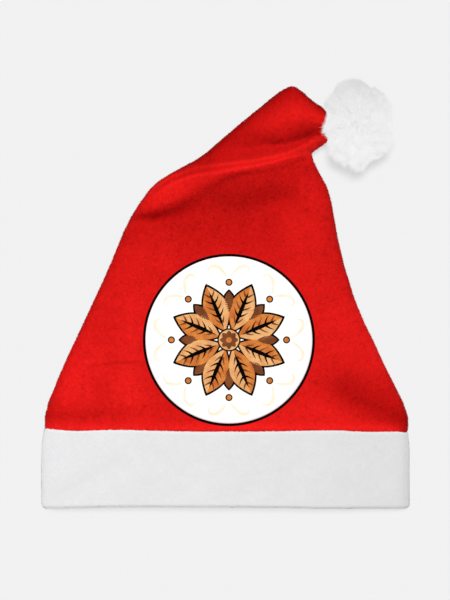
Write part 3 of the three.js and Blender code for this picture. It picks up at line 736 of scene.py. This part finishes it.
def add_crown():
    """The crown's cloth, a closed skin from the tip to the hem and back inside. Its outside's loops
    are given back."""
    outside = loops_of(section_at(even_rows(TIP_ROW, OUTSIDE_LOOPS)), 0, inset=NAP_PROUD)
    outside = np.concatenate([outside, loops_to_centre(outside, TIP_SHARES, TIP_BULGE)])[::-1]
    hollow = loops_of(section_at(even_rows(HOLLOW_END_ROW, HOLLOW_LOOPS)), FLEECE, inset=NAP_PROUD)
    grid = np.concatenate([outside, hollow, loops_to_centre(hollow, HOLLOW_SHARES)])
    cloth = skin_piece("crown_cloth", grid, fleece_red)
    # The tone attribute holds light and shade painted into the cloth's colour
    tone = cloth.data.attributes.new("tone", "FLOAT", "POINT")
    tone.data.foreach_set("value", cloth_painted_light(grid, grid_normals(grid)).astype(np.float32).ravel())
    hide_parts("crown")
    return outside


def add_crown_nap(outside, rng):
    def keep(points, normals):
        from_print = np.hypot(points[:, 0] - PRINT_CENTRE[0], points[:, 1] - PRINT_CENTRE[1])
        off_print = (from_print > PRINT_RADIUS + PRINT_CLEARANCE) | (normals[:, 2] < 0)
        underside = np.where(normals[:, 2] < FACES_DOWN, UNDERSIDE_NAP, 1)
        return smoothstep(points[:, 1], *NAP_START) * off_print * underside

    normals = grid_normals(outside)
    # Each fibre starts from the cloth's painted light and shade, and flecks vary it at random
    spots = scatter(outside, normals, cloth_painted_light(outside, normals), rng, keep)
    points, _, _, tone = spots
    x = points[:, 0]
    flecks = layered(grain, CROWN_FLECKS, x, points[:, 1] + points[:, 2])
    tone = tone * (1 + flecks * (FLECKS_LEFT - FLECKS_FALL * smoothstep(x, *FLECKS_FALL_X)))
    steps = np.interp(tone, RED_STEPS, np.arange(len(RED_STEPS)))
    nap_piece("crown_nap", spots, CROWN_NAP, steps, red_lit_and_shaded_tones, rng)


# The cuff

# How far its upper edge and its rim run off a straight line: rows of x and the distance
CUFF_TOP_EDGE = [
    (-150, 2.1), (-144, 2), (-130, 1.1), (-120, 0.8), (-100, 1.6), (-86, 1.9), (-66, 1.5), (-27, 0.7),
    (22, 0.7), (42, 0.9), (61, 1.4), (90, 1.5), (100, 0.9), (110, 0.2), (139, 0), (147, -1.1),
]
CUFF_RIM_EDGE = [
    (-150, -1.6), (-126, -0.6), (-108, 0.1), (-90, 0.6), (-55, 0.8), (-15, 0.8), (17, 0.5), (53, 0.2),
    (71, -0.4), (89, -0.7), (125, -0.7), (143, -1.5), (150, -1.7),
]
BOTH_STRAIGHT_Y = RIM_Y + 12  # neither edge's run reaches past here
CORNERS_IN = (2.2, 1.2)  # how far the upper corners are pulled in, at the left and the right
CORNER_REACH = 9

# The roundings of the wall's edges, and the steps in each stretch of its profile
LIP_ROUNDING = 1.5
RIM_ROUNDING = 3
TURN_ROUNDING = 1
LIP_STEPS = 8
OUTSIDE_STEPS = 44
RIM_STEPS = 14
INSIDE_STEPS = 12
TURN_STEPS = 6
SLOT_STEPS = 12
UNDERLAP_STEPS = 16
SEEN_LOOPS = LIP_STEPS + OUTSIDE_STEPS + RIM_STEPS + INSIDE_STEPS

# The seam near the right end and the faint crease at the lower left
SEAM_X = 146.2
SEAM_DEPTH = 1.1
SEAM_WIDTH = 1.6
CREASE = np.array([(-136.0, -163.0), (-114.0, -151.0), (-88.0, -136.0)])
CREASE_DEPTH = 0.5
CREASE_WIDTH = 6

# The pile's place among its tones at the left, then painted shade: its fall to the right, and where
# it is darker at the seam, at the left rim and in a soft band: rows of x, width and steps
CUFF_STEP = 3.4
CUFF_PAINTED_FALL = 2
CUFF_FALL_X = (-110, 130)
CUFF_PAINTED_SHADES = [(SEAM_X, 3, 1.3), (1.5 - CUFF_SIDE_X, 2.2, 1.6), (108, 16, 0.6)]
UNDERSIDE_PILE = 0.3  # the share of fibres there, and again where it touches the table
PILE_LOWEST = 0.3


def round_end(from_in, to_in, y, rise, steps):
    """Half an ellipse of the cuff's profile, between two depths, rising from a height."""
    turn = np.linspace(0, math.pi, steps + 1)
    return np.column_stack([from_in + (to_in - from_in) * (1 - np.cos(turn)) / 2,
                            y + rise * np.sin(turn)])


def straight(depth, from_y, to_y, steps):
    """A straight stretch of the profile between its two ends, without them."""
    y = np.linspace(from_y, to_y, steps + 1)[1:-1]
    return np.column_stack([np.full(len(y), depth), y])


def cuff_profile():
    """Depth below the cuff's outside, and y, round its wall from the inner top edge."""
    slot_end = HEM_FLOOR + FLEECE + GAP
    inside = slot_end + TURN_IN
    lip_y = CUFF_TOP_Y - LIP_ROUNDING
    rim_y = RIM_Y + RIM_ROUNDING
    turned_y = RIM_Y + TURN_IN_DEPTH - TURN_ROUNDING
    slot_y = HEM_Y - GAP
    return np.concatenate([
        round_end(PLUSH, 0, lip_y, LIP_ROUNDING, LIP_STEPS),
        straight(0, lip_y, rim_y, OUTSIDE_STEPS),
        round_end(0, inside, rim_y, -RIM_ROUNDING, RIM_STEPS),
        straight(inside, rim_y, turned_y, INSIDE_STEPS),
        round_end(inside, slot_end, turned_y, TURN_ROUNDING, TURN_STEPS),
        straight(slot_end, turned_y, slot_y, SLOT_STEPS),
        [(slot_end, slot_y), (PLUSH, slot_y)],
        straight(PLUSH, slot_y, lip_y, UNDERLAP_STEPS),
    ])


def crease_share(x, y):
    """How much of the faint crease is at a point, from 0 to 1."""
    return bell(nearest_on(CREASE, x, y)[0], CREASE_WIDTH)


def cuff_lift(x, y):
    """Soft unevenness of the plush, its faint crease, and the shallow seam near its right side."""
    seam = SEAM_DEPTH * bell(x - SEAM_X, SEAM_WIDTH)
    return layered(waves, CUFF_UNEVENNESS, x, y) - seam - CREASE_DEPTH * crease_share(x, y)


def add_cuff():
    """The cuff's plush, a band folded over its rim. Its loops are given back."""
    depth, y = cuff_profile().T
    near_top = bell(CUFF_TOP_Y - y, CORNER_REACH)
    sections = np.zeros((len(y), SECTIONS.shape[1]))
    sections[:, 0] = CORNERS_IN[0] * near_top - CUFF_SIDE_X
    sections[:, 2] = CUFF_SIDE_X - CORNERS_IN[1] * near_top
    sections[:, 1] = sections[:, 3] = y
    sections[:, 4] = CUFF_LOFT
    sections[:, 5] = SIDE_HEIGHT
    grid = loops_of(sections, depth, cuff_lift)
    towards_top = smoothstep(grid[..., 1], BOTH_STRAIGHT_Y, CUFF_TOP_Y)
    towards_rim = smoothstep(-grid[..., 1], -BOTH_STRAIGHT_Y, -RIM_Y)
    grid[..., 1] += np.interp(grid[..., 0], *np.transpose(CUFF_TOP_EDGE)) * towards_top
    grid[..., 1] += np.interp(grid[..., 0], *np.transpose(CUFF_RIM_EDGE)) * towards_rim
    cloth = skin_piece("cuff_cloth", grid, plush_white, ring=True)
    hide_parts("cuff")
    return grid


def add_cuff_pile(grid, rng):
    """Pile on the lip, the outside, the rim and the turned-in face."""
    def keep(points, normals):
        underside = np.where(normals[:, 2] < FACES_DOWN, UNDERSIDE_PILE, 1)
        return underside * np.where(points[:, 2] < PILE_LOWEST, UNDERSIDE_PILE, 1)

    seen = grid[:SEEN_LOOPS]
    normals = grid_normals(grid, ring=True)[:SEEN_LOOPS]
    spots = scatter(seen, normals, np.ones(seen.shape[:2]), rng, keep)
    x, y, _ = spots[0].T
    # Painted shade: the pile darkens towards the right, at the seam, at the left rim, in a soft band and in
    # the crease; the flecks vary it at random
    steps = CUFF_STEP - CUFF_PAINTED_FALL * smoothstep(x, *CUFF_FALL_X) + layered(grain, CUFF_FLECKS, x, y)
    for middle, width, painted_shade in CUFF_PAINTED_SHADES:
        steps = steps - painted_shade * bell(x - middle, width)
    steps = steps - crease_share(x, y)
    pile = nap_piece("cuff_pile", spots, CUFF_PILE, steps, white_lit_and_shaded_tones, rng)
    pile.visible_shadow = False  # light comes through the short white pile


# The pompom

# How far the pile reaches by the direction on the table, in degrees, as a share of its half sizes
POMPOM_OUTLINE = [
    (-5, 0.95), (11, 0.92), (26, 0.95), (38, 0.9), (50, 0.89), (63, 0.86), (71, 0.79), (79, 0.86),
    (89, 0.92), (103, 0.97), (114, 1.01), (120, 0.98), (127, 1.07), (137, 0.99), (149, 1.08), (156, 1.12),
    (163, 1), (170, 0.93), (176, 1), (183, 1.07), (190, 1.1), (196, 1), (202, 0.92), (208, 1),
    (218, 1.11), (231, 1.06), (244, 1.01), (256, 1.03), (265, 1.06), (274, 0.99), (286, 0.89), (302, 0.89),
    (318, 0.96), (330, 1.01), (341, 1.02), (355, 0.95),
]
OUTLINE_START = -5
TOP_SHARE = 0.95  # how far it reaches at the top and the bottom
CORE_SHARE = 0.74
CORE_RINGS = 48
CORE_POINTS = 64
CORE_POLE = 0.02  # how far from its poles the core ends, in radians
CORE_PATTERN = (30, 30, 21)  # turns a direction into a place in its unevenness

# The loose strands, which gather towards their tuft. Each tuft has a length and a curl of its own.
STRANDS = 16600  # in each of the pile's two pieces
SIDES = 3
STRAND_POINTS = 2 * SIDES + 1
ROOT_SHARE = 0.95  # of the core's size
ROOT_RADIUS = 0.3
BEND_RADIUS = 0.26
STRAND_LOWEST = 0.3
TUFTS = 260
TUFT_SEED = 71
GATHERED = 0.25
GATHERED_VARIETY = 0.04
LENGTH_VARIETY = 0.03  # of the tufts, and again of the strands
END_CURL = 1.2
BEND_CURL = 0.6
BEND_VARIETY = 0.5

# Their places among the pile's tones, with painted shade towards the tip, at the roots and on the
# underside, and painted light away from the tip
STRAND_STEP = 4.1
TIPWARDS_PAINTED_SHADE = 1.2
TIP_HALF_PAINTED_SHADE = 3  # on top of that, in the half on the tip's side
ROOT_PAINTED_SHADE = 0.5
STRAND_UNDERSIDE_SHADE = 2.5
UNDERSIDE_FROM = (-0.1, 0.7)
STEP_VARIETY = 0.35
STEP_FOR_LENGTH = 10
OUTWARD_SHADING = 0.02
STRAND_SHADING = 0.03


def even_directions(count):
    """Directions spread evenly over a sphere along a Fibonacci spiral."""
    i = np.arange(count) + 0.5
    height = 1 - 2 * i / count
    level = np.sqrt(1 - height**2)
    turn = i * math.pi * (3 - math.sqrt(5))
    return np.column_stack([level * np.cos(turn), level * np.sin(turn), height])


def pile_reach(directions):
    """The share of the pompom's half sizes that its pile reaches in each direction."""
    x, y, _ = directions.T
    angle = (np.degrees(np.arctan2(y, x)) - OUTLINE_START) % 360 + OUTLINE_START
    return TOP_SHARE + (np.interp(angle, *np.transpose(POMPOM_OUTLINE)) - TOP_SHARE) * np.hypot(x, y)


def add_pompom_core():
    """The pompom's dense middle, so that nothing shows through between the strands."""
    tilt = np.linspace(CORE_POLE, math.pi - CORE_POLE, CORE_RINGS)[:, None]
    x, y = circle(CORE_POINTS)
    directions = np.stack([np.sin(tilt) * x, np.sin(tilt) * y, np.cos(tilt) + 0 * x], axis=-1)
    x, y, z = np.moveaxis(directions * CORE_PATTERN, -1, 0)
    swell = 1 + layered(waves, CORE_UNEVENNESS, x + z, y)
    grid = POMPOM_CENTRE + directions * POMPOM_REACH * (CORE_SHARE * swell[..., None])
    core = skin_piece("pompom_core", grid, pompom_white)
    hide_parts("pompom")


def strand_points(directions, tuft, curl, variety, rng):
    """Each strand's points, from three at its root over three at its bend to its end, and the ends
    alone, from the pompom's centre."""
    count = len(directions)
    gathered = directions * (1 - GATHERED) + tuft * GATHERED
    gathered = unit(gathered + rng.normal(0, GATHERED_VARIETY, (count, 3)))
    share = (pile_reach(gathered) + variety + rng.normal(0, LENGTH_VARIETY, count))[:, None]
    roots = directions * POMPOM_REACH * CORE_SHARE * ROOT_SHARE
    ends = gathered * POMPOM_REACH * share + curl * END_CURL
    bends = directions * POMPOM_REACH * (CORE_SHARE + share) / 2 + curl * BEND_CURL
    bends = bends + rng.normal(0, BEND_VARIETY, (count, 3))
    along = unit(ends - roots)
    side = unit(np.cross(along, rng.normal(size=(count, 3))))
    x, y = circle(SIDES)
    around = side[:, None] * x[:, None] + np.cross(along, side)[:, None] * y[:, None]
    points = np.concatenate([roots[:, None] + around * ROOT_RADIUS, bends[:, None] + around * BEND_RADIUS,
                             ends[:, None]], axis=1) + POMPOM_CENTRE
    points[..., 2] = np.maximum(points[..., 2], STRAND_LOWEST)
    return points, ends


def add_pompom_pile(name, rng):
    """Loose pile: three-sided strands that bend once and gather into tufts at their ends."""
    directions = unit(rng.normal(size=(STRANDS, 3)))
    tufts = even_directions(TUFTS)
    nearest = np.argmax(directions @ tufts.T, axis=1)
    tuft_rng = np.random.default_rng(TUFT_SEED)
    variety = tuft_rng.uniform(-LENGTH_VARIETY, LENGTH_VARIETY, TUFTS)[nearest]
    curl = np.cross(tufts[nearest], tuft_rng.normal(size=(TUFTS, 3))[nearest])
    points, ends = strand_points(directions, tufts[nearest], curl, variety, rng)
    k = np.arange(SIDES)
    beside = (k + 1) % SIDES
    faces = np.concatenate([
        np.column_stack([k, beside, beside + SIDES]),
        np.column_stack([k, beside + SIDES, k + SIDES]),
        np.column_stack([k + SIDES, beside + SIDES, np.full(SIDES, 2 * SIDES)]),
    ])
    faces = (faces + STRAND_POINTS * np.arange(STRANDS)[:, None, None]).reshape(-1, 3)
    shading = unit(ends) * OUTWARD_SHADING + (0, 0, 1)
    shading = unit(shading + STRAND_SHADING * rng.normal(size=(STRANDS, 3)))
    # Painted shade towards the tip, at the roots and on the underside, and painted light away from the tip;
    # the tufts' lengths and chance vary it further
    tipwards = directions[:, 1]
    steps = STRAND_STEP - TIPWARDS_PAINTED_SHADE * tipwards - TIP_HALF_PAINTED_SHADE * np.maximum(tipwards, 0)
    steps = steps - STRAND_UNDERSIDE_SHADE * smoothstep(-directions[:, 2], *UNDERSIDE_FROM)
    steps = steps + rng.normal(0, STEP_VARIETY, STRANDS) + STEP_FOR_LENGTH * variety
    steps = np.column_stack([steps - ROOT_PAINTED_SHADE] * 2 * SIDES + [steps] * SIDES)
    steps = np.clip(np.round(steps), 0, len(pile_lit_and_shaded_tones) - 1)
    return mesh_piece(name, points, faces, pile_lit_and_shaded_tones, face_slots=steps.ravel(),
                      smooth=False, normals=np.repeat(shading, STRAND_POINTS, axis=0))


# The print

# Each film's inner and outer radius, its rings and its spokes
FIELD_FILM = (0.4, BORDER_INNER - PRINT_SLIT, 48, 120)
BORDER_FILM = (BORDER_INNER, PRINT_RADIUS, 3, 180)


def film_piece(name, inner, outer, rings, spokes, ink, slot, ring=False):
    """Printed film over the crown. A ring is closed at its inner edge too."""
    radii = np.linspace(inner, outer, rings + 1)[:, None]
    x, y = circle(spokes)

    def sheet(radii, lift):
        film_x = PRINT_CENTRE[0] + radii * x
        film_y = PRINT_CENTRE[1] + radii * y
        return np.stack([film_x, film_y, front_height(film_x, film_y) + lift], axis=-1)

    grid = np.concatenate([sheet(radii, FILM_TOP), sheet(radii[::-1], FILM_UNDER)])
    return skin_piece(name, grid, ink, ring)


def turned(points, degrees):
    c, s = math.cos(math.radians(degrees)), math.sin(math.radians(degrees))
    return points @ np.array([[c, s], [-s, c]])


class Ornament:
    """Collects flat shapes in a few inks, and makes them one piece that lies on the print. Their
    points are in millimetres from its centre."""

    LAYER = 0.06
    DISC_POINTS = 28
    DISC_RINGS = 4
    DISC_INNER = 0.05
    LEAF_STEPS = 25
    LEAF_COLUMNS = 5
    LEAF_POWER = 0.9

    def __init__(self):
        self.points = []
        self.faces = []
        self.inks = []
        self.count = 0

    def patch(self, grid, ink, layer, closed=False):
        """A grid of points as one shape, raised over the film by its layer."""
        rows, columns = grid.shape[:2]
        k = np.arange(columns if closed else columns - 1)
        beside = (k + 1) % columns
        here = np.arange(rows - 1)[:, None] * columns
        after = here + columns
        quads = np.stack([here + k, here + beside, after + beside, after + k], axis=-1).reshape(-1, 4)
        flat = grid.reshape(-1, 2)
        a, b, c = flat[quads[0, :3]]
        if (b - a)[0] * (c - a)[1] - (b - a)[1] * (c - a)[0] < 0:
            quads = quads[:, ::-1]
        x, y = (PRINT_CENTRE + flat).T
        self.points.append(np.column_stack([x, y, front_height(x, y) + FILM_TOP + self.LAYER * layer]))
        self.faces.append(quads + self.count)
        self.inks.append(np.full(len(quads), ink))
        self.count += len(flat)

    def stroke(self, line, width, ink, layer):
        """A brush line along points, with a width at each."""
        tangent = unit(np.gradient(line, axis=0))
        across = np.column_stack([-tangent[:, 1], tangent[:, 0]]) * width[:, None] / 2
        self.patch(np.stack([line - across, line + across]), ink, layer)

    def leaf(self, angle, start, end, half_width, ink, layer, side=0, fullest=0.5):
        """A pointed leaf along a ray; side 1 or -1 fills only that half of it."""
        run = np.linspace(0, 1, self.LEAF_STEPS)
        swell = np.where(run < fullest, run / fullest, (1 - run) / (1 - fullest))
        half = half_width * np.sin(swell * math.pi / 2) ** self.LEAF_POWER
        low = half * (0 if side > 0 else -1)
        high = half * (0 if side < 0 else 1)
        across = low[:, None] + (high - low)[:, None] * np.linspace(0, 1, self.LEAF_COLUMNS)
        along = np.broadcast_to((start + (end - start) * run)[:, None], across.shape)
        self.patch(turned(np.stack([along, across], axis=-1), angle), ink, layer)

    def disc(self, centre, radius, ink, layer):
        around = np.column_stack(circle(self.DISC_POINTS))
        radii = np.linspace(self.DISC_INNER, radius, self.DISC_RINGS)
        self.patch(np.stack([centre + around * r for r in radii]), ink, layer, closed=True)

    def make(self, name, inks):
        return mesh_piece(name, np.concatenate(self.points), np.concatenate(self.faces), inks,
                          face_slots=np.concatenate(self.inks))


ORANGE, TAN, BROWN, BLACK, CREAM = range(5)
INKS = [print_orange, print_tan, print_brown, print_black, print_cream]

# The rosette. A leaf's row holds where it starts and ends along its ray, its half width, ink and
# layer, the side that is filled, or 0 for both, and where it is fullest. A disc's row holds its
# radius, ink and layer.
RAYS = 8
RAY_ANGLE = 360 / RAYS
LARGE_LEAF = [(6, 49, 11.2, BLACK, 1, 0), (8, 46.5, 9.9, ORANGE, 2, 1), (8, 46.5, 9.9, TAN, 2, -1),
              (11, 42, 1.6, BLACK, 4, 0)]
SMALL_LEAF = [(20, 41, 5.0, BLACK, 1, 0, 0.62), (22.5, 39.2, 3.5, BROWN, 2, 0, 0.62)]
HEART_LEAF = (1.5, 7.6, 2.2, BROWN, 7)
BERRY = [(2.9, BLACK, 1), (1.9, ORANGE, 2)]
BERRY_OUT = 46.5
HEART = [(9.4, BLACK, 5), (8.2, TAN, 6)]
HEART_MIDDLE = (2.2, ORANGE, 8)
CURL = [(50.5, 1.5), (55, 4.5), (59.5, 10), (59, 15.5), (54.5, 16.5)]
CURL_WIDTHS = 2.6 * np.sin(np.linspace(0.12, math.pi - 0.12, 28)) ** 0.7

# A large leaf's veins, whose reach follows the leaf's own outline
VEIN_STARTS = 15 + 5.6 * np.arange(5)
VEIN_REACHES = 7.6 * np.sin((VEIN_STARTS - 8) / 38.5 * math.pi) ** 0.8
VEIN_ROOT = 0.6
VEIN_SHAPE = [(2.2, 0.5), (5.2, 0.86)]  # how far along, and the share of the reach there
VEIN_WIDTHS = np.linspace(1.9, 0.3, 9)


def add_veins(art, angle):
    for number, (out, reach) in enumerate(zip(VEIN_STARTS, VEIN_REACHES)):
        for side in (-1, 1):
            vein = [(out, side * VEIN_ROOT)]
            vein += [(out + along, side * reach * share) for along, share in VEIN_SHAPE]
            line = turned(smooth_line(vein, len(VEIN_WIDTHS)), angle)
            art.stroke(line, VEIN_WIDTHS, BLACK if number % 2 else BROWN, 3)


def add_ornament():
    """A folk rosette: eight folded leaves, small leaves and berries between, and pale curls."""
    art = Ornament()
    for angle in RAY_ANGLE * (np.arange(RAYS) + 0.5):
        for row in LARGE_LEAF:
            art.leaf(angle, *row)
        add_veins(art, angle)
    for angle in RAY_ANGLE * np.arange(RAYS):
        for row in SMALL_LEAF:
            art.leaf(angle, *row)
        for row in BERRY:
            art.disc(turned(np.array([BERRY_OUT, 0]), angle), *row)
        for side in (-1, 1):
            line = smooth_line(np.array(CURL) * (1, side), len(CURL_WIDTHS))
            art.stroke(turned(line, angle), CURL_WIDTHS, CREAM, 1)
    for row in HEART:
        art.disc(np.zeros(2), *row)
    for angle in RAY_ANGLE * np.arange(RAYS):
        art.leaf(angle, *HEART_LEAF)
    art.disc(np.zeros(2), *HEART_MIDDLE)
    art.make("print_ornament", INKS)


# The stage, the light and the camera

TABLE_HALF = 40.0  # metres, as all sizes below but the camera's own
TABLE_DROP = -0.0002  # keeps the table just clear of the cloth on it
TABLE_GREY = (0.8, 0.8, 0.8, 1)
ROOM_BRIGHTNESS = 0.205

# Far lamps: name, direction, brightness on level white, width in degrees, and whether it casts a
# shadow. The raking one brings out the folds from beyond the tip.
SUNS = [
    ("overhead", (-0.01, 0.19, 1), 0.28, 16, True),
    ("fill", (-0.05, 0.2, 1), 0.14, 25, False),
    ("raking", (-0.25, 0.6, 1), 0.48, 5, False),
]

PHOTO_HEIGHT = 0.4894  # what the photo's 600 pixels of height cover on the table
PHOTO_MIDDLE = (-0.0004, -0.0061)
CLOTH_HEIGHT = 0.012  # the height that the photo's scale was taken at
LENS = 100.0  # the camera's own sizes, in millimetres
SENSOR = 36.0


def add_stage():
    material, _ = new_material("table", {"Roughness": 1, "Specular IOR Level": 0, "Base Color": TABLE_GREY})
    corners = [(x * TABLE_HALF, y * TABLE_HALF, 0) for x, y in ((-1, -1), (1, -1), (1, 1), (-1, 1))]
    mesh = bpy.data.meshes.new("table")
    mesh.from_pydata(corners, [], [(0, 1, 2, 3)])
    mesh.materials.append(material)
    table = bpy.data.objects.new("table", mesh)
    table.location.z = TABLE_DROP
    bpy.context.scene.collection.objects.link(table)


def add_light():
    world = bpy.data.worlds.new("room")
    world.use_nodes = True
    background = world.node_tree.nodes["Background"]
    background.inputs["Color"].default_value = (1, 1, 1, 1)
    background.inputs["Strength"].default_value = ROOM_BRIGHTNESS
    bpy.context.scene.world = world
    for name, towards, brightness, width, shadow in SUNS:
        direction = Vector(towards).normalized()
        light = bpy.data.lights.new(name, "SUN")
        light.energy = brightness * math.pi / direction.z
        light.angle = math.radians(width)
        light.use_shadow = shadow
        lamp = bpy.data.objects.new(name, light)
        lamp.rotation_mode = "QUATERNION"
        lamp.rotation_quaternion = direction.to_track_quat("Z", "Y")
        bpy.context.scene.collection.objects.link(lamp)


def add_camera():
    lens = bpy.data.cameras.new("camera")
    lens.lens = LENS
    lens.sensor_width = SENSOR
    camera = bpy.data.objects.new("camera", lens)
    camera.location = (*PHOTO_MIDDLE, PHOTO_HEIGHT * LENS / SENSOR + CLOTH_HEIGHT)
    bpy.context.scene.collection.objects.link(camera)
    bpy.context.scene.camera = camera
    bpy.context.scene.view_settings.view_transform = "Standard"


add_stage()
add_light()
add_camera()

rng = np.random.default_rng(RANDOM_SEED)
add_crown_nap(add_crown(), rng)
add_cuff_pile(add_cuff(), rng)
add_pompom_core()
pompom_pile = [add_pompom_pile(f"pompom_pile_{number}", rng) for number in (1, 2)]
pompom_pile[0].visible_shadow = False  # so that light comes through the loose ends
field = film_piece("print_disc", *FIELD_FILM, print_white, "print_white")
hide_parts("print_field")
border = film_piece("print_ring", *BORDER_FILM, print_black, "print_black", ring=True)
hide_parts("print_border")
add_ornament()
